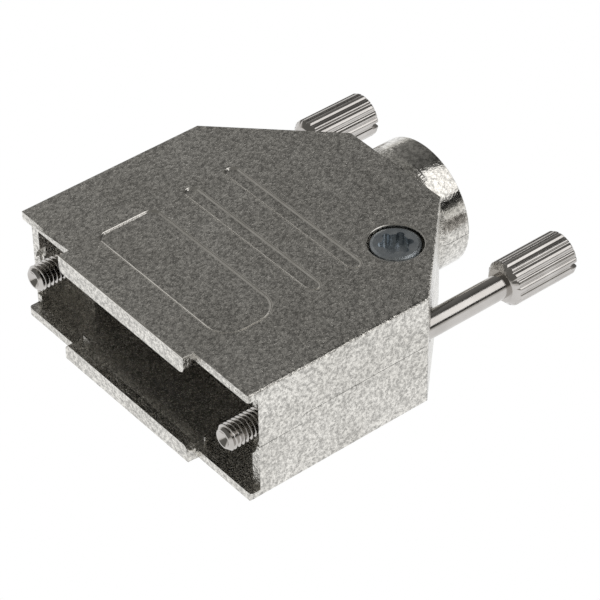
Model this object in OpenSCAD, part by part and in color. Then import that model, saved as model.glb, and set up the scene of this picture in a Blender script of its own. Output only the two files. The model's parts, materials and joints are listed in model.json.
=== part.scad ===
// Die-cast hood for a 15-way D-sub cable connector, with a straight cable exit.
// Two identical half shells are closed by one screw from each side.
// Two captive jackscrews slide and turn in channels along the sides.
// The mouth faces -Y, the cable leaves at +Y, and +Z is up.
// The origin lies midway between the jackscrews, in the plane of the plates' front edges.

/* [Jackscrews] */
// Distance between the two jackscrew axes
screw_pitch = 33.32; // [33:0.02:34]
// Diameter over the thread
thread_d = 2.95; // [2.8:0.01:3]
// Length of the threaded end
thread_len = 5.6; // [4.5:0.1:6]
// Diameter of the smooth shank
shank_d = 2.85; // [2.7:0.01:2.9]
// Distance from the mouth plane forward to the tip
tip_out = 1.05; // [0.5:0.05:2]
// Distance from the tip to the front of the head
screw_len = 38; // [37:0.5:44]
// Diameter over the knurled head
head_d = 5.3; // [4.4:0.1:5.6]
// Length of the knurled head
head_len = 9; // [7:0.5:12]
// Number of flutes in the straight knurl
flutes = 18; // [14:1:24]
// Travel forward from the drawn-back rest position
travel_front = 6.5; // [5:0.1:7]
// Travel backward from the rest position
travel_back = 1; // [0.4:0.1:1.4]

/* [Retaining rings] */
// Outer diameter of a retaining ring
ring_d = 3.8; // [3.5:0.1:4]
// Thickness of a retaining ring
ring_t = 0.8; // [0.6:0.1:1]
// Diameter of the groove that holds the ring
groove_d = 2.2; // [1.9:0.1:2.4]

/* [Body] */
// Distance from a jackscrew axis to the outer face of the side wall
side_margin = 3.04; // [2.98:0.02:3.4]
// Height over the top and bottom plates
body_h = 14.5; // [14:0.1:16.5]
// Length of the straight sides
side_len = 24; // [22:0.5:26]
// Length from the mouth plane to the rear wall
body_len = 36.3; // [35:0.1:39]
// Width of the rear wall
rear_w = 15; // [14:0.5:18]
// Thickness of the top and bottom plates
plate_t = 1; // [0.9:0.05:1.3]
// Thickness of the side and rear walls
wall_t = 1.2; // [1:0.05:1.3]
// Radius of the upright corners
corner_r = 0.4; // [0.3:0.05:0.9]
// Bevel along the plates' outer edges
bevel = 0.25; // [0.15:0.05:0.5]
// Distance of the side walls behind the plates' front edges
wall_setback = 1.25; // [0.8:0.05:1.6]

/* [Joint between the halves] */
// Height of the joint line above or below the middle in the front stretch
step_front = 0.35; // [0.2:0.05:0.6]
// Height of the joint line above or below the middle in the rear stretch
step_rear = 0.78; // [0.5:0.02:1]
// Distance of the step from the mouth plane
step_y = 6.9; // [6.2:0.1:8]
// Gap between the closed halves
seam = 0.06; // [0.02:0.01:0.1]
// Thickness of the inner lip that overlaps the joint
lip_t = 0.4; // [0.3:0.05:0.5]
// Height of the inner lip above the joint line
lip_h = 0.9; // [0.5:0.1:1.2]

/* [Mouth] */
// Length of the hook that holds the connector's flange
hook_l = 21.7; // [18:0.1:24]
// Distance that the hook stands out of the mouth plane
hook_out = 1.4; // [1:0.05:1.8]
// Height of the hook over the plate's outer face
hook_h = 2.2; // [1.9:0.05:2.6]
// Width of the slot for the connector's flange
flange_slot = 1.15; // [0.9:0.05:1.4]
// Thickness of the hook's lip
hook_t = 1.1; // [0.8:0.05:1.3]
// Radius of the relief for the mating screwlock
lock_relief_r = 2.7; // [2.4:0.05:2.8]
// Depth of the relief for the mating screwlock
lock_relief_y = 2; // [1.5:0.1:3]
// Thickness of the stop rib behind the flange
stop_t = 0.6; // [0.5:0.05:1.2]

/* [Inside] */
// Distance of the front web from the mouth plane
web_y = 4.9; // [4.7:0.1:5.5]
// Thickness of the webs that carry the jackscrews
web_t = 1.2; // [0.8:0.1:1.6]
// Width of the space between the inner ribs
inner_w = 28; // [27.4:0.1:28.2]
// Thickness of the inner ribs
rib_t = 0.75; // [0.6:0.05:0.8]
// Distance of a case screw from the middle
case_screw_x = 10.55; // [10.2:0.05:11]
// Distance of a case screw from the outer face of the slanted wall
case_screw_inset = 4.2; // [4:0.1:4.6]
// Height of the gripping ribs under the cable
grip_rib_h = 0.5; // [0.3:0.1:0.7]

/* [Outer face] */
// Length of the label pocket
pocket_l = 22; // [16:0.5:25]
// Width of the label pocket
pocket_w = 7.8; // [6:0.1:9]
// Distance of the label pocket from the mouth plane
pocket_y = 3.5; // [2.5:0.1:5]
// Radius of the label pocket's two large corners
pocket_r = 2.8; // [1.5:0.1:3]
// Radius of the label pocket's two small corners
pocket_small_r = 1.2; // [0.5:0.1:2]
// Depth of the label pocket and of the grip grooves
relief_depth = 0.2; // [0.1:0.05:0.4]
// Length of a grip groove
grip_l = 22.2; // [16:0.2:24]
// Width of a grip groove
grip_w = 1.7; // [1.2:0.1:2]
// Distance of the first grip groove's middle line from the mouth plane
grip_y = 16.1; // [15:0.1:17]
// Distance between the grip grooves
grip_pitch = 5.55; // [4:0.05:6]

/* [Cable entry] */
// Outer diameter of the collar
collar_d = 15.4; // [15:0.1:16.4]
// Length of the collar behind the rear wall
collar_len = 4.25; // [3:0.05:6]
// Diameter of the cable bore
bore_d = 12.4; // [10:0.1:12.8]
// Diameter of the largest cable that the strap takes
strap_bore = 8.8; // [6:0.1:9.4]
// Thickness of the strap
strap_t = 0.8; // [0.6:0.05:0.9]
// Width of the strap along the cable
strap_w = 3.3; // [2.8:0.1:3.6]
// Distance of the strap's middle from the rear wall
strap_back = 4.7; // [4.4:0.1:5.2]

/* [Case screws] */
// Diameter of the case screw's thread
case_thread_d = 3; // [2.5:0.1:3.2]
// Diameter of the case screw's head
case_head_d = 5.7; // [5.2:0.1:5.8]
// Height of the case screw's head
case_head_h = 1.7; // [1.4:0.1:2]
// Length of the case screw under its head
case_screw_len = 10; // [9:0.5:10.5]
// Depth of the head's top below the plate's face
case_head_sunk = 0.05; // [0.05:0.05:0.4]

/* [Hidden] */
$fn = 64;

// Clearances between pieces
eps = 0.01;          // overlap that makes one solid of touching forms
screw_gap = 0.17;    // round a jackscrew's shank in its webs
ring_gap = 0.2;      // round a retaining ring in its channel
ring_fit = 0.05;     // between a ring and its groove
stop_gap = 0.1;      // between a ring and a web at the end of its travel
thread_gap = 0.03;   // round a screw's thread in its hole
head_gap = 0.25;     // round a screw's head in its counterbore
lip_gap = 0.06;      // round the inner lip

// Plan of the body
body_w = screw_pitch + 2 * side_margin;
half_h = body_h / 2;
floor_z = -half_h + plate_t;
chamfer_dx = (body_w - rear_w) / 2;
chamfer_dy = body_len - side_len;
chamfer_l = norm([chamfer_dx, chamfer_dy]);
chamfer_n = [chamfer_dy, chamfer_dx] / chamfer_l;
chamfer_c = chamfer_n * [body_w / 2, side_len];

// Where a line parallel to the slanted wall, inset from its outer face, meets a given x or y
function slant_y(x, inset) = (chamfer_c - inset - chamfer_n[0] * x) / chamfer_n[1];
function slant_x(y, inset) = (chamfer_c - inset - chamfer_n[1] * y) / chamfer_n[0];

// Right half of the body's plan, inset from the outer faces
function plan_half(inset, front) = [
    [body_w / 2 - inset, front],
    [body_w / 2 - inset, slant_y(body_w / 2 - inset, inset)],
    [slant_x(body_len - inset, inset), body_len - inset]];
function mirrored(points) = [for (i = [len(points) - 1 : -1 : 0]) [-points[i][0], points[i][1]]];
function plan(inset, front) = concat(plan_half(inset, front), mirrored(plan_half(inset, front)));

// Jackscrew places
axis_x = screw_pitch / 2;
channel_r = ring_d / 2 + ring_gap;
shank_hole_r = max(shank_d, thread_d) / 2 + screw_gap;
ring_y = web_y + web_t + stop_gap + travel_front;
rear_web_y = ring_y + ring_t + travel_back + stop_gap;
thread_end = thread_len - tip_out;
head_y = screw_len - tip_out;
head_cone = 0.7;      // length of the cone in front of the knurl
head_cone_r = 2;      // radius of the head's front face
head_edge = 0.3;      // bevel on the head's rear edge
slot_w = 0.7;         // screwdriver slot in the head's rear face
slot_depth = 1;

// Mouth
lead_in_h = 1.25;     // height over the plate where the left-hand wall's lead-in bevel starts
hook_edge = 0.8;      // radius at the ends of the hook's lip
thin_wall = 0.8;      // thickness of the left-hand wall in front of the web
cup_r = 0.95;         // radius of the cup in a jackscrew's tip
cup_depth = 0.55;     // depth of that cup

// Case screws
case_y = slant_y(case_screw_x, case_screw_inset);
case_hole_r = case_thread_d / 2 + 0.2;
counterbore_r = case_head_d / 2 + head_gap;
counterbore_depth = case_head_sunk + case_head_h;
thread_boss_r = case_thread_d / 2 + 1.4;
head_boss_r = counterbore_r + 0.8;
case_tip_z = half_h - counterbore_depth - case_screw_len;

// Strap
strap_y = body_len - strap_back;
strap_out_r = strap_bore / 2 + strap_t;
strap_head_d = 3.9;
strap_head_h = 1.2;
strap_thread_d = 2;
strap_screw_len = 4;
strap_screw_x = strap_out_r + 0.2 + strap_head_d / 2;
post_r = 1.75;
post_top = -2.4;
foot_t = strap_t;

// --- Shared forms ---

// Prism whose outline is given in the Y-Z plane, between two x values
module across(x0, x1) {
    translate([x0, 0, 0]) rotate([90, 0, 90]) linear_extrude(x1 - x0) children();
}

// Cylinder along +Y
module rod_y(r, y0, y1) {
    translate([0, y0, 0]) rotate([-90, 0, 0]) cylinder(r = r, h = y1 - y0);
}

// Body of revolution about the Y axis, its outline given as [radius, y]
module turned_y(points) {
    rotate([-90, 0, 0]) mirror([0, 0, 0]) rotate_extrude() polygon([for (p = points) [p[0], p[1]]]);
}

// Slot with round ends along X
module stadium(length, width) {
    square([length - width, width], center = true);
    for (s = [-1, 1]) translate([s * (length - width) / 2, 0]) circle(d = width);
}

// Takes the sharp corner off a plan: the rounding circle's centre and the two outward normals
module corner_cut(p, n1, n2, r) {
    bisector = (n1 + n2) / norm(n1 + n2);
    centre = p - bisector * r / (bisector * n1);
    difference() {
        polygon([centre, centre + n1 * 2 * r, centre + bisector * 3 * r, centre + n2 * 2 * r]);
        translate(centre) circle(r = r);
    }
}

// --- Half shell, modelled as the lower one ---

module body_plan() {
    corners = plan(0, 0);
    normals = [[0, -1], [1, 0], chamfer_n, [0, 1], [-chamfer_n[0], chamfer_n[1]], [-1, 0], [0, -1]];
    difference() {
        polygon(corners);
        for (i = [0 : 5]) corner_cut(corners[i], normals[i], normals[i + 1], corner_r);
    }
}

// Region under the joint line of the right-hand wall, in the Y-Z plane
module under_joint(shift) {
    low = -step_front + shift;
    high = step_rear + shift;
    round_r = 0.5;
    step_end = side_len - 0.6;
    difference() {
        union() {
            translate([-1, -half_h]) square([body_len + collar_len + 2, half_h + shift]);
            translate([step_y, -half_h]) square([step_end - step_y, half_h + high]);
        }
        translate([-2, low]) square([step_y + 2, step_front + step_rear + 1]);
        translate([step_y, high - round_r]) difference() {
            translate([-eps, 0]) square([round_r + eps, round_r + 1]);
            translate([round_r, 0]) circle(r = round_r);
        }
    }
}

// Outline of a side wall's front end, in the Y-Z plane: set back over the plate
module wall_front() {
    difference() {
        translate([0, -half_h]) square([body_len + collar_len + 1, body_h]);
        polygon([[-1, floor_z], [wall_setback, floor_z], [wall_setback, half_h + 1], [-1, half_h + 1]]);
    }
}

// Solid block of the half shell, with its stepped joint face
module shell_block() {
    big = body_w;
    intersection() {
        translate([0, 0, -half_h]) linear_extrude(body_h) body_plan();
        union() {
            across(0, big) intersection() {
                wall_front();
                under_joint(-seam / 2);
            }
            across(-big, eps) difference() {
                intersection() {
                    wall_front();
                    translate([0, -half_h]) square([body_len + collar_len + 1, half_h + step_front + eps]);
                }
                mirror([0, 1]) under_joint(seam / 2);
            }
        }
    }
}

// Space inside the walls and above the plate
module cavity() {
    translate([0, 0, floor_z]) linear_extrude(body_h) polygon(plan(wall_t, -3));
}

// Jackscrew channel in the walls, open to the front
module channels() {
    for (s = [-1, 1]) translate([s * axis_x, 0, 0]) {
        rod_y(lock_relief_r, -1, lock_relief_y);
        rod_y(channel_r, -1, rear_web_y + eps);
        rod_y(shank_hole_r, 0, body_len);
    }
}

// Webs and ribs that carry and screen off the jackscrews
module screw_guides() {
    top = -seam / 2;
    for (s = [-1, 1]) {
        rib_x = s > 0 ? inner_w / 2 : -inner_w / 2 - rib_t;
        translate([rib_x, web_y, floor_z - eps])
            cube([rib_t, case_y - web_y, top - floor_z + eps]);
        for (y = [web_y, rear_web_y]) {
            x0 = inner_w / 2;
            translate([s > 0 ? x0 : -body_w / 2 + wall_t - eps, y, floor_z - eps])
                cube([body_w / 2 - wall_t - x0 + eps, web_t, top - floor_z + eps]);
        }
    }
}

// Bosses for the case screws: a head boss on the left, a threaded boss on the right
module case_bosses() {
    top = -seam / 2;
    translate([case_screw_x, case_y, floor_z - eps]) cylinder(r = thread_boss_r, h = top - floor_z + eps);
    translate([-case_screw_x, case_y, floor_z - eps]) {
        cylinder(r = thread_boss_r, h = top - floor_z + eps);
        cylinder(r = head_boss_r, h = counterbore_depth + 1 - plate_t + eps);
    }
}

module case_holes() {
    translate([-case_screw_x, case_y, -half_h]) {
        translate([0, 0, -1]) cylinder(r = counterbore_r, h = counterbore_depth + 1);
        cylinder(r = case_hole_r, h = half_h + 1);
    }
    translate([case_screw_x, case_y, case_tip_z - 0.4])
        cylinder(r = case_thread_d / 2 + thread_gap, h = -case_tip_z + 1);
}

// Posts for the strap's screws, and low ribs that grip the cable
module strap_seat() {
    for (s = [-1, 1]) translate([s * strap_screw_x, strap_y, floor_z - eps])
        cylinder(r = post_r, h = post_top - floor_z + eps);
    for (i = [-1 : 1]) translate([-3.5, strap_y + i * 1.5 - 0.3, floor_z - eps])
        cube([7, 0.6, grip_rib_h + eps]);
}

module strap_holes() {
    for (s = [-1, 1]) translate([s * strap_screw_x, strap_y, post_top + foot_t - strap_screw_len - 0.2])
        cylinder(r = strap_thread_d / 2 + thread_gap, h = 10);
}

// Hook on the plate's front edge, with the stop rib behind the flange
module flange_hook() {
    hook_top = -half_h + hook_h;
    across(-hook_l / 2, hook_l / 2)
        polygon([[-hook_out, -half_h], [1, -half_h], [1, floor_z], [hook_t - hook_out, floor_z],
                 [hook_t - hook_out, hook_top], [-hook_out, hook_top]]);
    translate([0, hook_t - hook_out + flange_slot + stop_t / 2, floor_z - eps])
        linear_extrude(hook_top - floor_z + eps) stadium(hook_l, stop_t);
}

// Rounds the upper corners of the hook's lip
module hook_corners() {
    hook_top = -half_h + hook_h;
    for (s = [-1, 1]) translate([s * (hook_l / 2 - hook_edge), 0, hook_top - hook_edge])
        rotate([90, 0, 0]) translate([0, 0, -(hook_t - hook_out)]) linear_extrude(hook_t + 1)
            difference() {
                translate([s > 0 ? 0 : -hook_edge - 1, 0]) square([hook_edge + 1, hook_edge + 1]);
                circle(r = hook_edge);
            }
}

// Collar round the cable entry, which swells out of the plate
module collar() {
    r = collar_d / 2;
    flush_r = half_h - 0.04;
    rim = 0.15;
    end = body_len + collar_len;
    intersection() {
        turned_y([[0, body_len - wall_t], [flush_r, body_len - wall_t],
                  [flush_r, body_len - 0.1], [r - 0.12, body_len + 0.7], [r, body_len + 1.1],
                  [r, end - rim], [r - rim, end], [0, end]]);
        translate([-body_w, 0, -body_h]) cube([2 * body_w, end + 1, body_h - seam / 2]);
    }
}

module cable_bore() {
    end = body_len + collar_len;
    rod_y(bore_d / 2, body_len - wall_t - eps, end + 1);
    turned_y([[0, end - 0.4], [bore_d / 2, end - 0.4], [bore_d / 2 + 0.5, end + 0.1], [0, end + 0.1]]);
}

// Label pocket and grip grooves sunk in the plate's outer face
module outer_relief() {
    small_r = pocket_small_r;
    depth = relief_depth + 1;
    translate([0, 0, -half_h - 1]) linear_extrude(depth) {
        translate([-pocket_l / 2 - 0.2, pocket_y]) {
            for (y = [0, 1]) {
                translate([pocket_r, y ? pocket_w - pocket_r : pocket_r]) circle(r = pocket_r);
                translate([pocket_l - small_r, y ? pocket_w - small_r : small_r]) circle(r = small_r);
            }
            translate([0, pocket_r]) square([pocket_l - small_r, pocket_w - 2 * pocket_r]);
            translate([pocket_r, 0]) square([pocket_l - pocket_r - small_r, pocket_w]);
            translate([pocket_l - small_r - eps, small_r]) square([small_r + eps, pocket_w - 2 * small_r]);
        }
        for (i = [0, 1]) translate([0, grip_y + i * grip_pitch]) stadium(grip_l, grip_w);
    }
}

// Bevel along the plate's outer edges
module edge_bevels() {
    corners = plan(0, 0);
    side = bevel * sqrt(2);
    for (i = [0 : 4]) {
        a = corners[i];
        b = corners[i + 1];
        run = b - a;
        translate([a[0], a[1], -half_h]) rotate([0, 0, atan2(run[1], run[0])])
            translate([-2, 0, 0]) rotate([45, 0, 0])
                translate([0, -side / 2, -side / 2]) cube([norm(run) + 4, side, side]);
    }
}

// Inner lip on the right-hand wall, and the rebate for the other half's lip on the left
module lip(gap) {
    x0 = body_w / 2 - wall_t + lip_gap;
    across(x0 - gap, x0 + lip_t + gap)
        translate([step_y + 1.2 - gap, 0]) square([side_len - step_y - 3.4 + 2 * gap, step_rear + lip_h + gap]);
}

// Thins the left-hand wall in front of the web, with a bevel that leads it over the flange
module thin_left_wall() {
    inner = -body_w / 2 + wall_t;
    thin = -body_w / 2 + thin_wall;
    translate([0, 0, floor_z]) linear_extrude(body_h)
        polygon([[thin, -1], [inner + eps, -1], [inner + eps, web_y], [thin, web_y]]);
    translate([0, 0, floor_z + lead_in_h]) linear_extrude(body_h)
        polygon([[-body_w / 2, wall_setback - eps], [thin + eps, wall_setback - eps],
                 [thin + eps, wall_setback + thin_wall]]);
}

module half_shell() {
    difference() {
        union() {
            difference() {
                shell_block();
                cavity();
                edge_bevels();
                channels();
            }
            difference() {
                intersection() {
                    union() {
                        screw_guides();
                        case_bosses();
                        strap_seat();
                    }
                    translate([0, 0, -half_h + bevel]) linear_extrude(body_h) polygon(plan(wall_t / 2, 0));
                }
                for (s = [-1, 1]) translate([s * axis_x, 0, 0]) {
                    rod_y(shank_hole_r, 0, body_len);
                    rod_y(channel_r, web_y + web_t, rear_web_y);
                }
            }
            difference() {
                flange_hook();
                hook_corners();
            }
            collar();
            difference() {
                lip(0);
                translate([axis_x, 0, 0]) rod_y(channel_r, 0, body_len);
            }
        }
        case_holes();
        strap_holes();
        cable_bore();
        outer_relief();
        mirror([1, 0, 0]) mirror([0, 0, 1]) lip(lip_gap);
        thin_left_wall();
    }
}

module lower_shell() color("#b9b6ae") half_shell();

module upper_shell() color("#8f8b84") rotate([0, 180, 0]) half_shell();

// --- Jackscrews ---

module knurl_flutes() {
    flute_r = 0.22;
    for (i = [0 : flutes - 1]) rotate([0, 360 / flutes * i, 0])
        translate([head_d / 2 + 0.06, 0, 0]) rod_y(flute_r, head_y - 1, head_y + head_len + 1);
}

module thumbscrew() {
    tip = -tip_out;
    tr = thread_d / 2;
    sr = shank_d / 2;
    relief_r = groove_d / 2 + 0.1;
    hr = head_d / 2;
    difference() {
        turned_y([[0, tip + cup_depth], [cup_r / 3, tip + cup_depth], [cup_r, tip], [tr - 0.35, tip], [tr, tip + 0.35], [tr, thread_end],
                  [relief_r, thread_end + 0.1], [relief_r, thread_end + 0.7], [sr, thread_end + 0.9],
                  [sr, ring_y - ring_fit], [groove_d / 2, ring_y - ring_fit],
                  [groove_d / 2, ring_y + ring_t + ring_fit], [sr, ring_y + ring_t + ring_fit],
                  [sr, head_y], [head_cone_r, head_y], [hr, head_y + head_cone],
                  [hr, head_y + head_len - head_edge], [hr - head_edge, head_y + head_len],
                  [0, head_y + head_len]]);
        knurl_flutes();
        translate([-hr - 1, head_y + head_len - slot_depth, -slot_w / 2]) cube([2 * hr + 2, slot_depth + 1, slot_w]);
    }
}

module left_thumbscrew() color("silver") translate([-axis_x, 0, 0]) thumbscrew();

module right_thumbscrew() color("silver") translate([axis_x, 0, 0]) thumbscrew();

// Snap ring, open on one side so that it springs into the shank's groove
module retaining_ring() {
    inner_r = groove_d / 2 + ring_fit;
    mouth_w = groove_d * 0.8;
    translate([0, ring_y, 0]) rotate([-90, 0, 0]) linear_extrude(ring_t) difference() {
        circle(d = ring_d);
        circle(r = inner_r);
        translate([-mouth_w / 2, 0]) square([mouth_w, ring_d]);
    }
}

module left_retaining_ring() color("dimgray") translate([-axis_x, 0, 0]) retaining_ring();

module right_retaining_ring() color("dimgray") translate([axis_x, 0, 0]) retaining_ring();

// --- Case screws ---

module hexalobular(d) {
    lobe_r = d * 0.11;
    circle(d = d * 0.76);
    for (i = [0 : 5]) rotate(60 * i) {
        translate([d / 2 - lobe_r, 0]) circle(r = lobe_r);
        translate([0, -lobe_r]) square([d / 2 - lobe_r, 2 * lobe_r]);
    }
}

// Screw that enters from the top, its head sunk in the upper plate
module case_screw() {
    top = half_h - case_head_sunk;
    r = case_head_d / 2;
    tr = case_thread_d / 2;
    under = top - case_head_h;
    translate([case_screw_x, case_y, 0]) difference() {
        rotate_extrude() polygon([[0, top], [r - 0.4, top], [r - 0.1, top - 0.12], [r, top - 0.35], [r, under],
                                  [tr, under], [tr, case_tip_z + 0.5], [tr - 0.5, case_tip_z], [0, case_tip_z]]);
        translate([0, 0, top - 1.1]) linear_extrude(2) hexalobular(3.9);
    }
}

module upper_case_screw() color("#4a5560") case_screw();

module lower_case_screw() color("#4a5560") rotate([0, 180, 0]) case_screw();

// --- Cable strap ---

module cable_clamp() {
    foot_top = post_top + foot_t;
    color("#a8a49c") difference() {
        union() {
            translate([0, strap_y + strap_w / 2, 0]) rotate([90, 0, 0]) linear_extrude(strap_w) {
                difference() {
                    union() {
                        circle(r = strap_out_r);
                        translate([-strap_out_r, post_top]) square([2 * strap_out_r, -post_top]);
                        translate([-strap_screw_x, post_top]) square([2 * strap_screw_x, foot_t]);
                    }
                    circle(d = strap_bore);
                    translate([-strap_bore / 2, -body_h]) square([strap_bore, body_h]);
                    translate([-body_w, -2 * body_h + post_top]) square([2 * body_w, 2 * body_h]);
                }
            }
            for (s = [-1, 1]) translate([s * strap_screw_x, strap_y, post_top]) cylinder(d = strap_w, h = foot_t);
        }
        for (s = [-1, 1]) translate([s * strap_screw_x, strap_y, post_top - 1])
            cylinder(r = strap_thread_d / 2 + 0.2, h = foot_top - post_top + 2);
    }
}

module clamp_screw() {
    under = post_top + foot_t;
    top = under + strap_head_h;
    r = strap_head_d / 2;
    tr = strap_thread_d / 2;
    tip = under - strap_screw_len;
    translate([0, strap_y, 0]) difference() {
        rotate_extrude() polygon([[0, top], [r - 0.5, top], [r, top - 0.5], [r, under],
                                  [tr, under], [tr, tip + 0.3], [tr - 0.3, tip], [0, tip]]);
        for (a = [45, 135]) translate([0, 0, top]) rotate([0, 0, a]) cube([2.2, 0.5, 1.4], center = true);
    }
}

module left_clamp_screw() color("silver") translate([-strap_screw_x, 0, 0]) clamp_screw();

module right_clamp_screw() color("silver") translate([strap_screw_x, 0, 0]) clamp_screw();

upper_shell();
lower_shell();
left_thumbscrew();
right_thumbscrew();
left_retaining_ring();
right_retaining_ring();
upper_case_screw();
lower_case_screw();
cable_clamp();
left_clamp_screw();
right_clamp_screw();
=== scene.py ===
"""Looks of the metal D-sub hood: plated castings, turned jackscrews, case screws and strap."""

import json
import logging
import math
from dataclasses import dataclass, field
from enum import Enum
from typing import Callable, Iterable, Optional, Sequence

import bmesh
import bpy
from mathutils import Matrix, Vector

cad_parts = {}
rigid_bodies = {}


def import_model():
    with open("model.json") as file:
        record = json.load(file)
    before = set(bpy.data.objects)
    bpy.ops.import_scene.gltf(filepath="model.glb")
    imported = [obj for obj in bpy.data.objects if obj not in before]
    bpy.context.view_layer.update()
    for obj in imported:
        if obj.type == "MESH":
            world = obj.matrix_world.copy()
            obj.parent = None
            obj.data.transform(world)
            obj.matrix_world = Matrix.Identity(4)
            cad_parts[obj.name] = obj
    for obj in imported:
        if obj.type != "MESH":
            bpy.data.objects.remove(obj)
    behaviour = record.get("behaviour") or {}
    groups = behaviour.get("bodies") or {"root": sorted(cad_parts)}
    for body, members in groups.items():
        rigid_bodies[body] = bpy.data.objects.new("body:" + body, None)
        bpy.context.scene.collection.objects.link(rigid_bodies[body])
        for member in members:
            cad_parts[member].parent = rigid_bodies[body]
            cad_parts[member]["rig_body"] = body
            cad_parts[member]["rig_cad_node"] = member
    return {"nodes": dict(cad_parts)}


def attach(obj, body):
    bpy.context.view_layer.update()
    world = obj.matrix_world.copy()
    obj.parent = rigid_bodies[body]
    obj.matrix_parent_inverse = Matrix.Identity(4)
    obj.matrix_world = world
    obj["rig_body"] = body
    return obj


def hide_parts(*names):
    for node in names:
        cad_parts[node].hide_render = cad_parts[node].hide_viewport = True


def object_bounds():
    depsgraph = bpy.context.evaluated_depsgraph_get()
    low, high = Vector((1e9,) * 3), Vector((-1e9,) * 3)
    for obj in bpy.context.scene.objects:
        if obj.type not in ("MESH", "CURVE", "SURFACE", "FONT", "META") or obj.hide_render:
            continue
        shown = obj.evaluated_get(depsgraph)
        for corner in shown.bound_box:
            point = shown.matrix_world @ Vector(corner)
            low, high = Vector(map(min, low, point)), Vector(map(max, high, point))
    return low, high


MM = 0.001
SAME_PLANE = 0.4
WELD = 0.002 * MM
LEVEL = 0.004 * MM
POLISH = 0.85
POLISH_FADE = 0.6 * MM
POLISHED_SHEEN = 0.5
CENTRE = Vector((0.0, 0.018, 0.0))
LOG = logging.getLogger("hood")

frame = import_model()
CAD_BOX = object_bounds()


class Side(Enum):
    """The two sides of the hood that carry a jackscrew."""

    LEFT = -1
    RIGHT = 1

    @property
    def word(self) -> str:
        """The side's name as it is used in the nodes."""
        return self.name.lower()


class Socket(Enum):
    """Kinds of socket that a node group can have."""

    VALUE = "NodeSocketFloat"
    COLOR = "NodeSocketColor"
    VECTOR = "NodeSocketVector"


# --------------------------------------------------------------------------- node groups


@dataclass
class NodeBench:
    """Places and joins nodes in one tree."""

    tree: bpy.types.NodeTree
    column: int = 0

    def add(self, kind: str, label: str = "", **settings: object) -> bpy.types.Node:
        """Adds a node.

        Args:
            kind: Blender's name of the node type.
            label: words shown on the node.
            settings: attributes set on the node.

        Returns:
            The new node.
        """
        node = self.tree.nodes.new(kind)
        node.label = label
        node.location = (220 * self.column, -120 * (len(self.tree.nodes) % 5))
        self.column += 1
        for key, value in settings.items():
            setattr(node, key, value)
        return node

    def join(self, start: bpy.types.NodeSocket, end: bpy.types.NodeSocket) -> None:
        """Links an output to an input.

        Args:
            start: the output socket.
            end: the input socket.
        """
        self.tree.links.new(start, end)

    def feed(self, node: bpy.types.Node, name: str, value: object) -> None:
        """Sets an input to a value, or links a socket to it.

        Args:
            node: node whose input is fed.
            name: the input's name or index.
            value: a socket to link, or a plain value.
        """
        socket = node.inputs[name]
        if isinstance(value, bpy.types.NodeSocket):
            self.join(value, socket)
        else:
            socket.default_value = value

    def math(self, operation: str, a: object, b: object = 0.0, c: object = 0.0) -> bpy.types.NodeSocket:
        """Adds a Math node and returns its result.

        Args:
            operation: the Math node's operation.
            a: first value or socket.
            b: second value or socket.
            c: third value or socket.

        Returns:
            The output socket.
        """
        node = self.add("ShaderNodeMath", operation.lower(), operation=operation)
        for index, value in enumerate((a, b, c)):
            self.feed(node, index, value)
        return node.outputs[0]

    def spread(
        self, value: object, low: float, high: float, to_low: float, to_high: float
    ) -> bpy.types.NodeSocket:
        """Maps a value from one range to another, held inside it.

        Args:
            value: socket with the value.
            low: value that maps to to_low.
            high: value that maps to to_high.
            to_low: result at low.
            to_high: result at high.

        Returns:
            The output socket.
        """
        node = self.add("ShaderNodeMapRange", "spread")
        self.feed(node, 0, value)
        for index, number in enumerate((low, high, to_low, to_high), start=1):
            node.inputs[index].default_value = number
        return node.outputs[0]


@dataclass
class GroupMaker:
    """Builds a shader node group with named inputs and outputs, once."""

    name: str
    inputs: Sequence[tuple[str, Socket, object]]
    outputs: Sequence[tuple[str, Socket]]
    body: Callable[[NodeBench, bpy.types.Node, bpy.types.Node], None]

    def tree(self) -> bpy.types.NodeTree:
        """Returns the group's tree, building it at the first call."""
        made = bpy.data.node_groups.get(self.name)
        if made is not None:
            return made
        made = bpy.data.node_groups.new(self.name, "ShaderNodeTree")
        for name, kind, value in self.inputs:
            socket = made.interface.new_socket(name, in_out="INPUT", socket_type=kind.value)
            if value is not None:
                socket.default_value = value
        for name, kind in self.outputs:
            made.interface.new_socket(name, in_out="OUTPUT", socket_type=kind.value)
        bench = NodeBench(made)
        start = bench.add("NodeGroupInput", "in")
        end = bench.add("NodeGroupOutput", "out")
        self.body(bench, start, end)
        return made

    def place(self, bench: NodeBench, **values: object) -> bpy.types.Node:
        """Places the group in a material.

        Args:
            bench: the material's bench.
            values: input values or sockets by input name, underscores for spaces.

        Returns:
            The group node.
        """
        node = bench.add("ShaderNodeGroup", self.name)
        node.node_tree = self.tree()
        for key, value in values.items():
            bench.feed(node, key.replace("_", " "), value)
        return node


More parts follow.
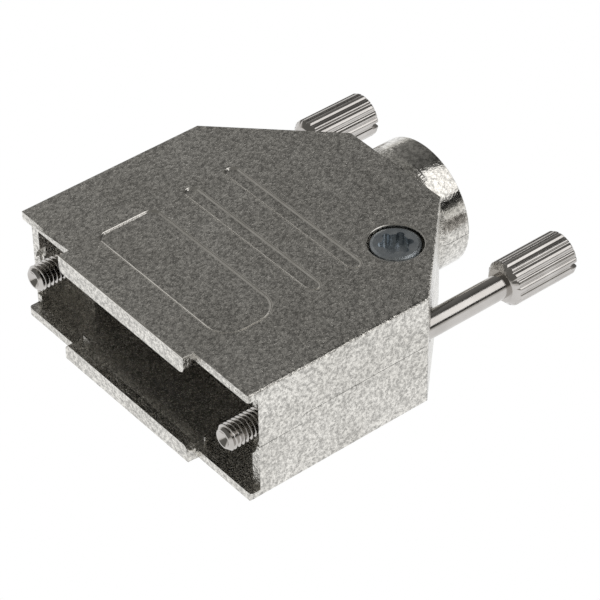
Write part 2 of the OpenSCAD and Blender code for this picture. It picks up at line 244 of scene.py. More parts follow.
def grain_body(bench: NodeBench, start: bpy.types.Node, end: bpy.types.Node) -> None:
    """Pebbled skin of a plated casting: soft bumps with finer roughness on them.

    Args:
        bench: bench of the group's tree.
        start: the group's input node.
        end: the group's output node.
    """
    coarse = bench.add("ShaderNodeTexNoise", "pebbles", noise_dimensions="3D")
    bench.feed(coarse, "Vector", start.outputs["Vector"])
    bench.feed(coarse, "Scale", start.outputs["Pebbles"])
    bench.feed(coarse, "Detail", 2.0)
    bench.feed(coarse, "Roughness", 0.6)
    fine_scale = bench.math("MULTIPLY", start.outputs["Pebbles"], 2.6)
    fine = bench.add("ShaderNodeTexNoise", "fine skin", noise_dimensions="3D")
    bench.feed(fine, "Vector", start.outputs["Vector"])
    bench.feed(fine, "Scale", fine_scale)
    bench.feed(fine, "Detail", 1.0)
    both = bench.math("MULTIPLY_ADD", fine.outputs[0], 0.6, coarse.outputs[0])
    smooth = bench.math("SUBTRACT", 1.0, start.outputs["Smooth"])
    bench.join(bench.math("MULTIPLY", both, smooth), end.inputs["Height"])
    bench.join(bench.spread(fine.outputs[0], 0.35, 0.7, 0.0, 1.0), end.inputs["Speckle"])
    # Pits runs from the pebbles' low points to their tops; the finishes use it to paint shade into the low
    # points and highlight onto the tops.
    bench.join(bench.spread(both, 0.62, 0.98, 0.0, 1.0), end.inputs["Pits"])


def tone_body(bench: NodeBench, start: bpy.types.Node, end: bpy.types.Node) -> None:
    """Slow changes of tone over a plated surface.

    Args:
        bench: bench of the group's tree.
        start: the group's input node.
        end: the group's output node.
    """
    cloud = bench.add("ShaderNodeTexNoise", "clouds", noise_dimensions="3D")
    bench.feed(cloud, "Vector", start.outputs["Vector"])
    bench.feed(cloud, "Scale", start.outputs["Patches"])
    bench.feed(cloud, "Detail", 3.0)
    level = bench.spread(cloud.outputs[0], 0.32, 0.68, 0.0, 1.0)
    mix = bench.add("ShaderNodeMix", "tone", data_type="RGBA")
    bench.feed(mix, 0, level)
    bench.feed(mix, 6, start.outputs["Deep"])
    bench.feed(mix, 7, start.outputs["Bright"])
    bench.join(mix.outputs[2], end.inputs["Color"])


def turning_body(bench: NodeBench, start: bpy.types.Node, end: bpy.types.Node) -> None:
    """Fine tool marks that run round a turned piece.

    Args:
        bench: bench of the group's tree.
        start: the group's input node.
        end: the group's output node.
    """
    parts = bench.add("ShaderNodeSeparateXYZ", "parts")
    bench.feed(parts, 0, start.outputs["Vector"])
    line = bench.add("ShaderNodeTexNoise", "tool marks", noise_dimensions="1D")
    bench.feed(line, "W", parts.outputs["Y"])
    bench.feed(line, "Scale", start.outputs["Marks"])
    bench.feed(line, "Detail", 2.0)
    bench.join(line.outputs[0], end.inputs["Height"])


GRAIN = GroupMaker(
    "cast_grain",
    (("Vector", Socket.VECTOR, None), ("Pebbles", Socket.VALUE, 2200.0), ("Smooth", Socket.VALUE, 0.0)),
    (("Height", Socket.VALUE), ("Speckle", Socket.VALUE), ("Pits", Socket.VALUE)),
    grain_body,
)
TONE = GroupMaker(
    "plate_tone",
    (
        ("Vector", Socket.VECTOR, None),
        ("Patches", Socket.VALUE, 160.0),
        ("Deep", Socket.COLOR, (0.5, 0.5, 0.5, 1.0)),
        ("Bright", Socket.COLOR, (0.7, 0.7, 0.7, 1.0)),
    ),
    (("Color", Socket.COLOR),),
    tone_body,
)
TURNING = GroupMaker(
    "turning_marks",
    (("Vector", Socket.VECTOR, None), ("Marks", Socket.VALUE, 9000.0)),
    (("Height", Socket.VALUE),),
    turning_body,
)


# --------------------------------------------------------------------------- finishes


@dataclass(frozen=True)
class MetalFinish:
    """A plated metal surface with changing tone, grain and tool marks."""

    name: str
    slot: str
    deep: tuple[float, float, float]
    bright: tuple[float, float, float]
    sheen_low: float
    sheen_high: float
    pebbles: float = 2200.0
    patches: float = 160.0
    relief: float = 0.0
    marks: float = 0.0
    mark_relief: float = 0.0
    pit_shade: float = 0.0
    polished_from: Optional[float] = None

    def material(self) -> bpy.types.Material:
        """Returns the material, building it at the first call."""
        made = bpy.data.materials.get(self.name)
        if made is not None:
            return made
        made = bpy.data.materials.new(self.name)
        made.use_nodes = True
        made.node_tree.nodes.clear()
        bench = NodeBench(made.node_tree)
        place = bench.add("ShaderNodeTexCoord", "place").outputs["Object"]
        shader = bench.add("ShaderNodeBsdfPrincipled", "metal")
        out = bench.add("ShaderNodeOutputMaterial", "surface")
        bench.join(shader.outputs[0], out.inputs[0])
        shader.inputs["Metallic"].default_value = 1.0
        tone = TONE.place(
            bench, Vector=place, Patches=self.patches, Deep=(*self.deep, 1.0), Bright=(*self.bright, 1.0)
        )
        smooth: object = 0.0
        if self.polished_from is not None:
            parts = bench.add("ShaderNodeSeparateXYZ", "parts")
            bench.join(place, parts.inputs[0])
            smooth = bench.spread(
                parts.outputs["Y"], self.polished_from, self.polished_from + POLISH_FADE, 0.0, POLISH
            )
        grain = GRAIN.place(bench, Vector=place, Pebbles=self.pebbles, Smooth=smooth)
        # Painted shade and highlight: the pit shade darkens the base colour in the grain's low points and
        # lightens it on the tops.
        shade = bench.spread(grain.outputs["Pits"], 0.0, 1.0, 1.0 - self.pit_shade, 1.0 + self.pit_shade)
        tint = bench.add("ShaderNodeVectorMath", "pit shade", operation="SCALE")
        bench.feed(tint, 0, tone.outputs["Color"])
        bench.feed(tint, "Scale", shade)
        bench.join(tint.outputs[0], shader.inputs["Base Color"])
        rough = bench.spread(grain.outputs["Speckle"], 0.0, 1.0, self.sheen_low, self.sheen_high)
        if self.polished_from is not None:
            dulling = bench.math("SUBTRACT", 1.0, bench.math("MULTIPLY", smooth, POLISHED_SHEEN))
            rough = bench.math("MULTIPLY", rough, dulling)
        bench.join(rough, shader.inputs["Roughness"])
        height, depth = grain.outputs["Height"], self.relief
        if self.marks:
            lines = TURNING.place(bench, Vector=place, Marks=self.marks)
            height, depth = lines.outputs["Height"], self.mark_relief
        bump = bench.add("ShaderNodeBump", "relief")
        bump.inputs["Strength"].default_value = 1.0
        bump.inputs["Distance"].default_value = depth
        bench.join(height, bump.inputs["Height"])
        bench.join(bump.outputs[0], shader.inputs["Normal"])
        return made

    def dress(self, piece: bpy.types.Object) -> None:
        """Gives a piece this finish.

        Args:
            piece: a mesh object, new or carried over from the CAD model.
        """
        mesh = piece.data
        mesh.materials.clear()
        mesh.materials.append(self.material())
        for face in mesh.polygons:
            face.material_index = 0


# The casting's pit shade of 0.4 is painted shade and highlight that follows the grain's relief.
CAST_NICKEL = MetalFinish(
    "nickel_plated_casting", "plated_casting", (0.57, 0.555, 0.52), (0.66, 0.645, 0.61), 0.16, 0.3,
    pebbles=2300.0, patches=130.0, relief=0.1 * MM, pit_shade=0.4, polished_from=36.9 * MM,
)
# Rim finish: smoother than the casting, and lighter in colour as a painted highlight along recess walls and
# counterbore rims.
RIM_NICKEL = MetalFinish(
    "burnished_nickel_rim", "plated_casting", (0.66, 0.64, 0.6), (0.78, 0.76, 0.72), 0.12, 0.22,
    pebbles=2500.0, patches=400.0, relief=0.01 * MM,
)
BRIGHT_NICKEL = MetalFinish(
    "bright_nickel_screw", "plated_screw", (0.48, 0.46, 0.44), (0.6, 0.58, 0.56), 0.1, 0.2,
    pebbles=5200.0, patches=260.0, marks=9000.0, mark_relief=0.006 * MM,
)
RING_STEEL = MetalFinish(
    "oiled_spring_steel", "spring_steel", (0.16, 0.16, 0.17), (0.27, 0.27, 0.28), 0.3, 0.45,
    pebbles=6000.0, patches=400.0, relief=0.004 * MM,
)
BLUE_ZINC = MetalFinish(
    "blue_passivated_zinc", "blue_zinc", (0.4, 0.44, 0.48), (0.6, 0.64, 0.67), 0.2, 0.36,
    pebbles=3600.0, patches=900.0, relief=0.02 * MM,
)
STRAP_ZINC = MetalFinish(
    "zinc_plated_strip", "strap_steel", (0.46, 0.455, 0.44), (0.6, 0.59, 0.57), 0.25, 0.4,
    pebbles=4200.0, patches=500.0, relief=0.01 * MM,
)


# --------------------------------------------------------------------------- modelling bench


def clear_selection() -> None:
    """Leaves edit mode and deselects every object."""
    active = bpy.context.view_layer.objects.active
    if active is not None and active.mode != "OBJECT":
        bpy.ops.object.mode_set(mode="OBJECT")
    bpy.ops.object.select_all(action="DESELECT")


def take(piece: bpy.types.Object) -> bpy.types.Object:
    """Makes a piece the only selected and active object, and returns it."""
    clear_selection()
    piece.select_set(True)
    bpy.context.view_layer.objects.active = piece
    return piece


def edit(piece: bpy.types.Object, mode: str = "VERT") -> None:
    """Opens a piece in edit mode with nothing selected.

    Args:
        piece: the piece to open.
        mode: VERT, EDGE or FACE.
    """
    take(piece)
    bpy.ops.object.mode_set(mode="EDIT")
    bpy.ops.mesh.select_mode(type=mode)
    bpy.ops.mesh.select_all(action="DESELECT")


def pick_verts(piece: bpy.types.Object, test: Callable[[Vector], bool]) -> int:
    """Selects the vertices whose place passes a test, in edit mode.

    Args:
        piece: the piece that is open in edit mode.
        test: tells whether a vertex is wanted from its place.

    Returns:
        The number of vertices selected.
    """
    bm = bmesh.from_edit_mesh(piece.data)
    count = 0
    for vert in bm.verts:
        wanted = test(vert.co)
        vert.select_set(wanted)
        count += wanted
    bm.select_flush(True)
    bmesh.update_edit_mesh(piece.data)
    return count


def pick_edges(piece: bpy.types.Object, test: Callable[[bmesh.types.BMEdge], bool]) -> int:
    """Selects the edges that pass a test, in edit mode.

    Args:
        piece: the piece that is open in edit mode.
        test: tells whether an edge is wanted.

    Returns:
        The number of edges selected.
    """
    bm = bmesh.from_edit_mesh(piece.data)
    bm.normal_update()
    count = 0
    for edge in bm.edges:
        wanted = test(edge)
        edge.select_set(wanted)
        count += wanted
    bmesh.update_edit_mesh(piece.data)
    return count


def pick_faces(piece: bpy.types.Object, test: Callable[[bmesh.types.BMFace], bool]) -> int:
    """Selects the faces that pass a test, in edit mode.

    Args:
        piece: the piece that is open in edit mode.
        test: tells whether a face is wanted.

    Returns:
        The number of faces selected.
    """
    bm = bmesh.from_edit_mesh(piece.data)
    bm.normal_update()
    count = 0
    for face in bm.faces:
        wanted = test(face)
        face.select_set(wanted)
        count += wanted
    bm.select_flush(False)
    bmesh.update_edit_mesh(piece.data)
    return count


def apply_modifier(piece: bpy.types.Object, kind: str, **settings: object) -> None:
    """Adds a modifier to a piece and applies it.

    Args:
        piece: the piece to change.
        kind: Blender's name of the modifier type.
        settings: attributes set on the modifier.
    """
    take(piece)
    bpy.ops.object.modifier_add(type=kind)
    modifier = piece.modifiers[-1]
    for key, value in settings.items():
        setattr(modifier, key, value)
    bpy.ops.object.modifier_apply(modifier=modifier.name)


def fix_place(piece: bpy.types.Object) -> None:
    """Moves a piece's place, turn and scale into its mesh."""
    take(piece)
    bpy.ops.object.transform_apply(location=True, rotation=True, scale=True)


def smooth(piece: bpy.types.Object, degrees: float = 48.0) -> None:
    """Shades a piece smooth over soft edges, with flat faces kept flat.

    Args:
        piece: the piece to shade.
        degrees: edges sharper than this stay sharp.
    """
    take(piece)
    bpy.ops.object.shade_smooth_by_angle(angle=math.radians(degrees), keep_sharp_edges=True)
    apply_modifier(piece, "WEIGHTED_NORMAL", mode="FACE_AREA", weight=60, keep_sharp=True)


def merge(pieces: Sequence[bpy.types.Object], name: str) -> bpy.types.Object:
    """Joins pieces into the first one and names it.

    Args:
        pieces: the pieces to join.
        name: name of the result.

    Returns:
        The joined piece.
    """
    clear_selection()
    for piece in pieces:
        piece.select_set(True)
    bpy.context.view_layer.objects.active = pieces[0]
    bpy.ops.object.join()
    pieces[0].name = name
    pieces[0].data.name = name
    return pieces[0]


def carve(piece: bpy.types.Object, cutter: bpy.types.Object, operation: str = "DIFFERENCE") -> None:
    """Cuts a piece with another, which is then removed.

    Args:
        piece: the piece to cut.
        cutter: the tool that shapes it.
        operation: DIFFERENCE or INTERSECT.
    """
    apply_modifier(piece, "BOOLEAN", operation=operation, object=cutter, solver="EXACT")
    bpy.data.objects.remove(cutter, do_unlink=True)


def copy_of_node(node: str, name: str) -> bpy.types.Object:
    """Copies a CAD node's mesh into a new piece, with its loose triangles merged.

    Args:
        node: name of the CAD node.
        name: name of the new piece.

    Returns:
        The new piece.
    """
    take(frame["nodes"][node])
    bpy.ops.object.duplicate(linked=False)
    piece = bpy.context.view_layer.objects.active
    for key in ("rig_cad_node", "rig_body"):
        if key in piece:
            del piece[key]
    piece.parent = None
    piece.matrix_world = Matrix.Identity(4)
    piece.name = name
    piece.data.name = name
    edit(piece, "VERT")
    bpy.ops.mesh.select_all(action="SELECT")
    bpy.ops.mesh.remove_doubles(threshold=WELD)
    bpy.ops.mesh.dissolve_limited(angle_limit=math.radians(SAME_PLANE))
    bpy.ops.mesh.select_all(action="SELECT")
    bpy.ops.mesh.mark_sharp(clear=True)
    bpy.ops.object.mode_set(mode="OBJECT")
    if piece.data.has_custom_normals:
        take(piece)
        bpy.ops.mesh.customdata_custom_splitnormals_clear()
    return piece


@dataclass
class Turned:
    """A solid of revolution about an axis along Y, built ring by ring."""

    name: str
    axis: tuple[float, float]
    steps: int = 64

    def build(
        self, rings: Sequence[tuple[float, float]],
        shaping: Optional[Callable[[bpy.types.Object, float, float], None]] = None,
    ) -> bpy.types.Object:
        """Builds the solid from rings of y and radius in millimetres.

        Args:
            rings: y and radius of each ring, from front to rear.
            shaping: called after each ring with the piece, its y and its radius, in metres.

        Returns:
            The new piece.
        """
        clear_selection()
        x, z = self.axis
        y0, r0 = rings[0]
        bpy.ops.mesh.primitive_circle_add(
            vertices=self.steps, radius=r0 * MM, fill_type="NOTHING",
            location=(x * MM, y0 * MM, z * MM), rotation=(math.pi / 2, 0, 0),
        )
        piece = bpy.context.view_layer.objects.active
        piece.name = self.name
        fix_place(piece)
        edit(piece, "VERT")
        bpy.ops.mesh.select_all(action="SELECT")
        bpy.ops.mesh.edge_face_add()
        edit(piece, "EDGE")
        bpy.ops.mesh.select_all(action="SELECT")
        before_y, before_r = y0, r0
        for y, r in rings[1:]:
            bpy.ops.mesh.extrude_edges_move(
                TRANSFORM_OT_translate={"value": (0, (y - before_y) * MM, 0)}
            )
            if abs(r - before_r) > 1e-6:
                factor = r / before_r
                bpy.ops.transform.resize(
                    value=(factor, 1, factor), center_override=(x * MM, y * MM, z * MM)
                )
            before_y, before_r = y, r
        bpy.ops.mesh.edge_face_add()
        bpy.ops.mesh.select_all(action="SELECT")
        bpy.ops.mesh.normals_make_consistent(inside=False)
        if shaping is not None:
            bpy.ops.mesh.select_mode(type="VERT")
            for y, r in rings:
                shaping(piece, y * MM, r * MM)
        bpy.ops.object.mode_set(mode="OBJECT")
        return piece


# --------------------------------------------------------------------------- sub-assemblies


@dataclass
class HalfShells:
    """The two die-cast half shells, with sloped recesses and rounded counterbores."""

    half_height: float = 7.25
    relief: float = 0.2
    relief_seen: float = 0.13
    relief_step: float = 0.035
    slope_run: float = 0.2
    rim: float = 0.14
    screw: tuple[float, float] = (10.55, 3.5)
    finish: MetalFinish = CAST_NICKEL
    rim_finish: MetalFinish = RIM_NICKEL
    pieces: list[bpy.types.Object] = field(default_factory=list)

    def build(self) -> list[bpy.types.Object]:
        """Builds and dresses both castings.

        Returns:
            The two pieces.
        """
        for word in ("upper", "lower"):
            piece = copy_of_node(f"{word}_shell", f"{word}_casting")
            self.finish.dress(piece)
            piece.data.materials.append(self.rim_finish.material())
            self.slope_recesses(piece)
            self.soften(piece)
            smooth(piece)
            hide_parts(f"{word}_shell")
            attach(piece, "hood")
            self.pieces.append(piece)
        return self.pieces

    def is_rim(self, edge: bmesh.types.BMEdge) -> bool:
        """Tells whether an edge is the rim of a case screw's counterbore.

        Args:
            edge: an edge of the casting.

        Returns:
            True for a rim edge.
        """
        top, (x, reach) = self.half_height * MM, self.screw
        if len(edge.link_faces) != 2:
            return False
        for vert in edge.verts:
            if abs(abs(vert.co.z) - top) > LEVEL or abs(abs(vert.co.x) - x * MM) > reach * MM:
                return False
        tilts = sorted(abs(face.normal.z) for face in edge.link_faces)
        return tilts[0] < 0.2 and tilts[1] > 0.9

    def slope_recesses(self, piece: bpy.types.Object) -> None:
        """Gives the label pocket and the finger grooves sloping walls in the rim finish, whose lighter
        colour is a painted highlight.

        Args:
            piece: the casting to work on.
        """
        top, floor = self.half_height * MM, (self.half_height - self.relief) * MM
        low, high = top - self.relief_seen * MM - WELD, top + WELD
        outward = 1.0 if piece.name.startswith("upper") else -1.0

        def on_floor(co: Vector) -> bool:
            return abs(abs(co.z) - floor) < LEVEL

        def is_floor(face: bmesh.types.BMFace) -> bool:
            return abs(face.normal.z) > 0.99 and all(on_floor(vert.co) for vert in face.verts)

        def is_wall(face: bmesh.types.BMFace) -> bool:
            return abs(face.normal.z) < 0.97 and all(low < abs(vert.co.z) < high for vert in face.verts)

        edit(piece, "FACE")
        count = pick_faces(piece, is_floor)
        bpy.ops.mesh.inset(
            thickness=self.slope_run * MM, depth=0.0, use_boundary=True, use_even_offset=True
        )
        bpy.ops.transform.translate(value=(0, 0, outward * (self.relief - self.relief_seen) * MM))
        bpy.ops.mesh.select_mode(type="VERT")
        bpy.ops.mesh.select_all(action="DESELECT")
        pick_verts(piece, on_floor)
        bpy.ops.transform.translate(value=(0, 0, outward * (self.relief - self.relief_step) * MM))
        bpy.ops.mesh.select_mode(type="FACE")
        bpy.ops.mesh.select_all(action="DESELECT")
        pick_faces(piece, is_wall)
        # The sloped walls get the rim finish, whose lighter colour paints a highlight along the recess
        # edges.
        piece.active_material_index = 1
        bpy.ops.object.material_slot_assign()
        bpy.ops.mesh.select_mode(type="EDGE")
        bpy.ops.mesh.mark_sharp()
        bpy.ops.object.mode_set(mode="OBJECT")
        LOG.info("%s: %d recess floors sloped", piece.name, count)

    def soften(self, piece: bpy.types.Object) -> None:
        """Rounds the rims of the counterbores.

        Args:
            piece: the casting to work on.
        """
        edit(piece, "EDGE")
        count = pick_edges(piece, self.is_rim)
        if count:
            bpy.ops.mesh.bevel(
                offset=self.rim * MM, segments=3, profile=0.5, affect="EDGES", clamp_overlap=False
            )
            # The rounded rims get the rim finish, whose lighter colour is a painted highlight.
            piece.active_material_index = 1
            bpy.ops.object.material_slot_assign()
        bpy.ops.object.mode_set(mode="OBJECT")
        LOG.info("%s: %d rim edges rounded", piece.name, count)


@dataclass
class Jackscrews:
    """The two knurled jackscrews with their threads and screwdriver slots."""

    spacing: float = 33.32
    pitch: float = 0.5
    crest: float = 1.475
    root: float = 1.17
    tip: float = -1.05
    thread_end: float = 4.55
    shank: float = 1.425
    groove: tuple[float, float, float] = (12.65, 13.55, 1.1)
    head: tuple[float, float, float, float] = (36.95, 37.65, 45.65, 45.95)
    head_r: float = 2.65
    face_r: float = 2.0
    flutes: int = 18
    points_per_flute: int = 10
    flute_r: float = 0.22
    flute_out: float = 0.06
    slot: tuple[float, float] = (0.7, 1.0)
    cup: tuple[float, float] = (0.95, 0.55)
    finish: MetalFinish = BRIGHT_NICKEL
    pieces: list[bpy.types.Object] = field(default_factory=list)

    def flute_floor(self, angle: float) -> float:
        """Radius of the knurl's surface at an angle from the middle of a flute, in metres."""
        centre = self.head_r + self.flute_out
        reach = self.flute_r ** 2 - (centre * math.sin(angle)) ** 2
        if reach <= 0:
            return 1.0
        return (centre * math.cos(angle) - math.sqrt(reach)) * MM

    def cut_flutes(self, piece: bpy.types.Object, y: float, r: float) -> None:
        """Draws the vertices of one ring in to the floors of the flutes.

        Args:
            piece: the head, open in edit mode.
            y: the ring's place along the axis, in metres.
            r: the ring's radius, in metres.
        """
        if y < self.head[0] * MM - 1e-6:
            return
        step = 2 * math.pi / self.flutes
        x = self.spacing / 2 * MM
        half = self.points_per_flute // 2
        for offset in range(half + 1):
            angle = step * offset / self.points_per_flute
            floor = self.flute_floor(angle)
            if floor >= r:
                continue

            def on_flute(co: Vector) -> bool:
                if abs(co.y - y) > WELD:
                    return False
                turn = math.atan2(co.z, co.x - x)
                away = abs((turn + step / 2) % step - step / 2)
                return abs(away - angle) < step / self.points_per_flute * 0.3

            if pick_verts(piece, on_flute):
                factor = floor / r
                bpy.ops.transform.resize(value=(factor, 1, factor), center_override=(x, y, 0))

    def turned_body(self) -> bpy.types.Object:
        """Turns the shank and the knurled head."""
        front, knurl, knurl_end, rear = self.head
        groove_a, groove_b, groove_r = self.groove
        steps = self.flutes * self.points_per_flute
        shank = Turned("shank", (self.spacing / 2, 0), 64).build([
            (self.thread_end - 0.05, self.root), (self.thread_end + 0.6, self.root),
            (self.thread_end + 0.8, self.shank), (groove_a, self.shank), (groove_a, groove_r),
            (groove_b, groove_r), (groove_b, self.shank), (front + 0.02, self.shank),
        ])
        head = Turned("head", (self.spacing / 2, 0), steps).build([
            (front, self.face_r - 0.12), (front + 0.05, self.face_r), (front + 0.3, self.face_r + 0.22),
            (knurl - 0.1, self.head_r - 0.07), (knurl + 0.06, self.head_r), (knurl_end, self.head_r),
            (rear - 0.1, self.head_r - 0.1), (rear, self.head_r - 0.3),
        ], self.cut_flutes)
        self.cut_slot(head, rear)
        return merge([head, shank], "right_jackscrew_turned")

    def cut_slot(self, head: bpy.types.Object, rear: float) -> None:
        """Mills the screwdriver slot across the head's rear face.

        Args:
            head: the turned head.
            rear: place of the rear face, in millimetres.
        """
        width, depth = self.slot
        clear_selection()
        bpy.ops.mesh.primitive_cube_add(size=1, location=(self.spacing / 2 * MM, rear * MM, 0))
        cutter = bpy.context.view_layer.objects.active
        cutter.scale = (6 * MM, 2 * depth * MM, width * MM)
        fix_place(cutter)
        carve(head, cutter)

    def thread(self) -> bpy.types.Object:
        """Cuts the thread: one tooth swept round the axis, trimmed to the tapered tip."""
        clear_selection()
        x = self.spacing / 2 * MM
        start = (self.tip - 2 * self.pitch) * MM
        bpy.ops.mesh.primitive_plane_add(size=1, location=(0, 0, 0))
        tooth = bpy.context.view_layer.objects.active
        tooth.name = "right_jackscrew_thread"
        edit(tooth, "VERT")
        width, pitch = (self.crest - self.root) * MM, self.pitch * MM
        bpy.ops.mesh.select_all(action="SELECT")
        bpy.ops.mesh.delete(type="ONLY_FACE")
        bpy.ops.mesh.select_mode(type="EDGE")
        pick_edges(tooth, lambda edge: all(v.co.x < 0 for v in edge.verts))
        bpy.ops.mesh.delete(type="EDGE")
        bpy.ops.mesh.select_mode(type="VERT")
        bpy.ops.mesh.select_all(action="SELECT")
        bpy.ops.transform.resize(value=(width, pitch, 1), center_override=(0, 0, 0))
        bpy.ops.transform.translate(value=((self.root * MM) + width / 2, pitch / 2, 0))
        pick_verts(tooth, lambda co: co.x > (self.root + 0.01) * MM)
        bpy.ops.transform.resize(value=(1, 0.22, 1), center_override=(0, pitch / 2, 0))
        bpy.ops.object.mode_set(mode="OBJECT")
        tooth.location = (x, start, 0)
        turns = math.ceil((self.thread_end - self.tip) / self.pitch) + 4
        apply_modifier(
            tooth, "SCREW", axis="Y", angle=2 * math.pi, screw_offset=pitch, iterations=turns,
            steps=40, render_steps=40, use_merge_vertices=False, use_smooth_shade=True,
        )
        fix_place(tooth)
        edit(tooth, "VERT")
        bpy.ops.mesh.select_all(action="SELECT")
        bpy.ops.mesh.remove_doubles(threshold=WELD)
        for y, out in ((self.tip - 0.2, False), (self.thread_end, True)):
            bpy.ops.mesh.select_all(action="SELECT")
            bpy.ops.mesh.bisect(
                plane_co=(x, y * MM, 0), plane_no=(0, 1, 0), use_fill=True,
                clear_outer=out, clear_inner=not out,
            )
        bpy.ops.mesh.select_all(action="SELECT")
        bpy.ops.mesh.normals_make_consistent(inside=False)
        bpy.ops.object.mode_set(mode="OBJECT")
        envelope = Turned("envelope", (self.spacing / 2, 0), 64).build([
            (self.tip, self.crest - 0.38), (self.tip + 0.5, self.crest + 0.12),
            (self.thread_end + 0.3, self.crest + 0.12),
        ])
        carve(tooth, envelope, "INTERSECT")
        self.cut_cup(tooth)
        return tooth

    def cut_cup(self, tip: bpy.types.Object) -> None:
        """Cuts the cup into the jackscrew's front end.

        Args:
            tip: the threaded piece.
        """
        rim, depth = self.cup
        slope = rim * 2 / 3 / depth
        cutter = Turned("cup", (self.spacing / 2, 0), 48).build([
            (self.tip - 0.2, rim + 0.2 * slope), (self.tip, rim), (self.tip + depth, rim / 3),
        ])
        carve(tip, cutter)

    def build(self) -> list[bpy.types.Object]:
        """Builds the right jackscrew, copies it to the left and dresses both.

        Returns:
            The two pieces.
        """
        body, thread = self.turned_body(), self.thread()
        right = merge([body, thread], "right_jackscrew_turned")
        take(right)
        bpy.ops.object.duplicate(linked=False)
        left = bpy.context.view_layer.objects.active
        left.name = left.data.name = "left_jackscrew_turned"
        left.location = (-self.spacing * MM, 0, 0)
        fix_place(left)
        for side, piece in ((Side.RIGHT, right), (Side.LEFT, left)):
            smooth(piece, 40.0)
            self.finish.dress(piece)
            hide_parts(f"{side.word}_thumbscrew")
            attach(piece, f"{side.word}_jackscrew")
            self.pieces.append(piece)
        return self.pieces


@dataclass
class SmallHardware:
    """Rings, case screws, strap and strap screws, which keep their CAD shapes."""

    finishes: dict[str, MetalFinish] = field(default_factory=lambda: {
        "left_retaining_ring": RING_STEEL,
        "right_retaining_ring": RING_STEEL,
        "upper_case_screw": BLUE_ZINC,
        "lower_case_screw": BLUE_ZINC,
        "cable_clamp": STRAP_ZINC,
        "left_clamp_screw": BRIGHT_NICKEL,
        "right_clamp_screw": BRIGHT_NICKEL,
    })

    def build(self) -> list[bpy.types.Object]:
        """Dresses the nodes.

        Returns:
            The dressed nodes.
        """
        done = []
        for name, finish in self.finishes.items():
            node = frame["nodes"][name]
            finish.dress(node)
            done.append(node)
        return done


# --------------------------------------------------------------------------- studio


@dataclass
class Softbox:
    """A square area lamp that faces the part from a direction, sizes in metres."""

    name: str
    toward: tuple[float, float, float]
    side: float
    level: float
    distance: float = 0.6

    def build(self) -> bpy.types.Object:
        """Builds the lamp."""
        lamp = bpy.data.lights.new(self.name, "AREA")
        lamp.shape = "SQUARE"
        lamp.size = self.side
        lamp.energy = self.level * math.pi * self.side ** 2
        lamp.color = (1.0, 0.99, 0.985)
        body = bpy.data.objects.new(self.name, lamp)
        bpy.context.scene.collection.objects.link(body)
        way = Vector(self.toward).normalized()
        body.location = way * self.distance + CENTRE
        body.rotation_mode = "QUATERNION"
        body.rotation_quaternion = way.to_track_quat("Z", "Y")
        return body


@dataclass(frozen=True)
class Card:
    """A flat glowing card that the metal mirrors."""

    name: str
    toward: tuple[float, float, float]
    wide: float
    high: float
    tones: tuple[float, float]
    across: tuple[float, float, float] = (0.0, 0.0, 1.0)


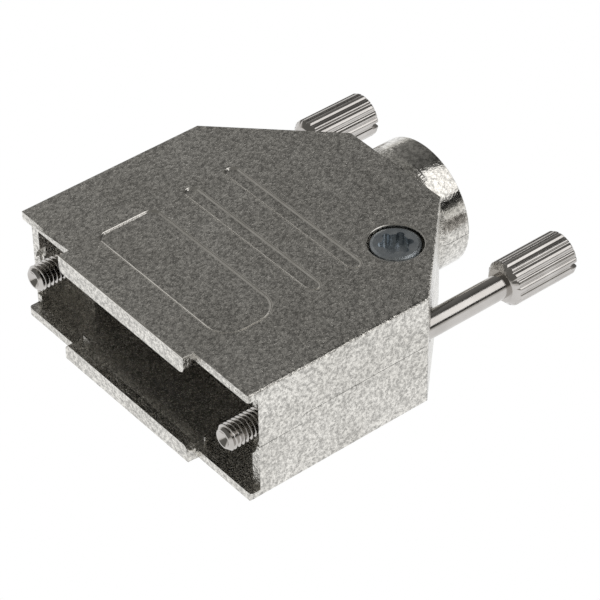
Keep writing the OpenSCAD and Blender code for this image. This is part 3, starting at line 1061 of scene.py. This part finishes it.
@dataclass
class Studio:
    """Floor, surround, lamps and camera."""

    azimuth: float = -51.4
    elevation: float = 39.93
    distance: float = 315.436
    shift: tuple[float, float] = (17.5595, 5.5738)
    roll: float = -0.9677
    lens: float = 179.82
    surround: tuple[float, float, float] = (0.17, 0.167, 0.157)
    floor_glow: float = 1.0
    lamps: Sequence[Softbox] = (
        Softbox("key_softbox", (0.471, 0.48, 0.74), 0.46, 1.25),
    )
    band: tuple[float, float, float] = (1.6, 0.27, 0.75)
    card_distance: float = 0.62
    cards: Sequence[Card] = (
        Card("dark_card", (-0.6, 0.46, 0.65), 0.95, 0.7, (0.03, 0.34), (-0.7, -0.7, 0.0)),
        Card("black_strip", (0.81, 0.48, 0.35), 0.6, 0.13, (0.02, 0.02)),
    )

    def axes(self) -> tuple[Vector, Vector, Vector]:
        """Right, up and forward directions of the camera."""
        a, e = math.radians(self.azimuth), math.radians(self.elevation)
        forward = Vector((math.sin(a) * math.cos(e), math.cos(a) * math.cos(e), -math.sin(e)))
        right = forward.cross(Vector((0, 0, 1))).normalized()
        up = right.cross(forward)
        c, s = math.cos(math.radians(self.roll)), math.sin(math.radians(self.roll))
        return right * c + up * s, up * c - right * s, forward

    def camera(self) -> bpy.types.Object:
        """Sets up the camera."""
        right, up, forward = self.axes()
        data = bpy.data.cameras.new("camera")
        data.lens = self.lens
        data.sensor_width = 36.0
        data.clip_start, data.clip_end = 0.01, 20.0
        body = bpy.data.objects.new("camera", data)
        bpy.context.scene.collection.objects.link(body)
        place = (-forward * self.distance + right * self.shift[0] + up * self.shift[1]) * MM
        turn = Matrix((right, up, -forward)).transposed().to_4x4()
        body.matrix_world = Matrix.Translation(place) @ turn
        bpy.context.scene.camera = body
        return body

    def background_mask(self, bench: NodeBench) -> bpy.types.NodeSocket:
        """Value that is 1 for camera, glossy and transmission rays.

        Args:
            bench: bench of the tree that needs it.

        Returns:
            The output socket.
        """
        path = bench.add("ShaderNodeLightPath", "rays")
        seen = bench.math("ADD", path.outputs["Is Camera Ray"], path.outputs["Is Glossy Ray"])
        seen = bench.math("ADD", seen, path.outputs["Is Transmission Ray"])
        return bench.math("MINIMUM", seen, 1.0)

    def floor(self) -> bpy.types.Object:
        """Lays the pale floor under the part."""
        clear_selection()
        low = CAD_BOX[0].z
        bpy.ops.mesh.primitive_circle_add(vertices=96, radius=2.5, fill_type="NGON", location=(0, 0.02, low))
        plane = bpy.context.view_layer.objects.active
        plane.name = "studio_floor"
        fix_place(plane)
        paper = bpy.data.materials.new("studio_paper")
        paper.use_nodes = True
        paper.node_tree.nodes.clear()
        bench = NodeBench(paper.node_tree)
        matt = bench.add("ShaderNodeBsdfDiffuse", "paper")
        matt.inputs[0].default_value = (0.86, 0.86, 0.85, 1.0)
        glow = bench.add("ShaderNodeEmission", "glow")
        mix = bench.add("ShaderNodeMixShader", "mix")
        bench.join(bench.math("MULTIPLY", self.background_mask(bench), self.floor_glow), mix.inputs[0])
        bench.join(matt.outputs[0], mix.inputs[1])
        bench.join(glow.outputs[0], mix.inputs[2])
        out = bench.add("ShaderNodeOutputMaterial", "surface")
        bench.join(mix.outputs[0], out.inputs[0])
        plane.data.materials.append(paper)
        return plane

    def world(self) -> None:
        """Sets the surround: white behind the part, even grey light from all round."""
        world = bpy.data.worlds.new("studio")
        bpy.context.scene.world = world
        world.use_nodes = True
        world.node_tree.nodes.clear()
        bench = NodeBench(world.node_tree)
        path = bench.add("ShaderNodeLightPath", "rays")
        grey = bench.add("ShaderNodeBackground", "surround")
        grey.inputs[0].default_value = (*self.surround, 1.0)
        white = bench.add("ShaderNodeBackground", "white")
        mix = bench.add("ShaderNodeMixShader", "mix")
        bench.join(path.outputs["Is Camera Ray"], mix.inputs[0])
        bench.join(grey.outputs[0], mix.inputs[1])
        bench.join(white.outputs[0], mix.inputs[2])
        out = bench.add("ShaderNodeOutputWorld", "world")
        bench.join(mix.outputs[0], out.inputs[0])

    def paper(
        self, name: str, tones: tuple[float, float], across: tuple[float, float, float]
    ) -> bpy.types.Material:
        """Makes the glow of a card, which may change from one side to the other.

        Args:
            name: name of the card.
            tones: brightness on its near side and on its far side.
            across: direction from the near side to the far side.

        Returns:
            The material.
        """
        paper = bpy.data.materials.new(name)
        paper.use_nodes = True
        paper.node_tree.nodes.clear()
        bench = NodeBench(paper.node_tree)
        place = bench.add("ShaderNodeTexCoord", "place").outputs["Object"]
        along = bench.add("ShaderNodeVectorMath", "along", operation="DOT_PRODUCT")
        bench.feed(along, 0, place)
        bench.feed(along, 1, across)
        glow = bench.add("ShaderNodeEmission", "tone")
        glow.inputs[0].default_value = (1.0, 0.985, 0.95, 1.0)
        bench.join(bench.spread(along.outputs["Value"], -0.4, 0.4, *tones), glow.inputs[1])
        out = bench.add("ShaderNodeOutputMaterial", "surface")
        bench.join(glow.outputs[0], out.inputs[0])
        return paper

    def stand(self, piece: bpy.types.Object, paper: bpy.types.Material) -> None:
        """Stands a piece of paper in the studio, where only the metal sees it.

        Args:
            piece: the card or band.
            paper: its material.
        """
        fix_place(piece)
        piece.data.materials.append(paper)
        piece.visible_camera = False
        piece.visible_shadow = False

    def card(self, card: Card) -> None:
        """Stands a flat card in the surround.

        Args:
            card: the card to build.
        """
        clear_selection()
        way = Vector(card.toward).normalized()
        bpy.ops.mesh.primitive_plane_add(size=1, location=(0, 0, 0))
        piece = bpy.context.view_layer.objects.active
        piece.name = card.name
        piece.scale = (card.wide, card.high, 1)
        piece.rotation_mode = "QUATERNION"
        piece.rotation_quaternion = way.to_track_quat("Z", "Y")
        piece.location = way * self.card_distance + CENTRE
        self.stand(piece, self.paper(card.name, card.tones, card.across))

    def horizon(self) -> None:
        """Stands a low pale band all round the part."""
        clear_selection()
        low = CAD_BOX[0].z
        bpy.ops.mesh.primitive_cylinder_add(
            vertices=96, radius=self.band[0], depth=self.band[1], end_fill_type="NOTHING",
            location=(0, CENTRE.y, low + self.band[1] / 2),
        )
        piece = bpy.context.view_layer.objects.active
        piece.name = "pale_band"
        self.stand(piece, self.paper("pale_band", (self.band[2], self.band[2]), (0.0, 0.0, 1.0)))

    def build(self) -> None:
        """Builds the whole studio."""
        bpy.context.scene.view_settings.view_transform = "Standard"
        self.camera()
        self.world()
        self.floor()
        for lamp in self.lamps:
            lamp.build()
        self.horizon()
        for card in self.cards:
            self.card(card)


def main() -> None:
    """Builds every sub-assembly, then the studio."""
    logging.basicConfig(level=logging.INFO, format="%(message)s")
    builders: Iterable[object] = (HalfShells(), Jackscrews(), SmallHardware())
    for builder in builders:
        for piece in builder.build():
            LOG.info("%s: %s, %d faces", type(builder).__name__, piece.name, len(piece.data.polygons))
    clear_selection()
    Studio().build()


if __name__ == "__main__":
    main()
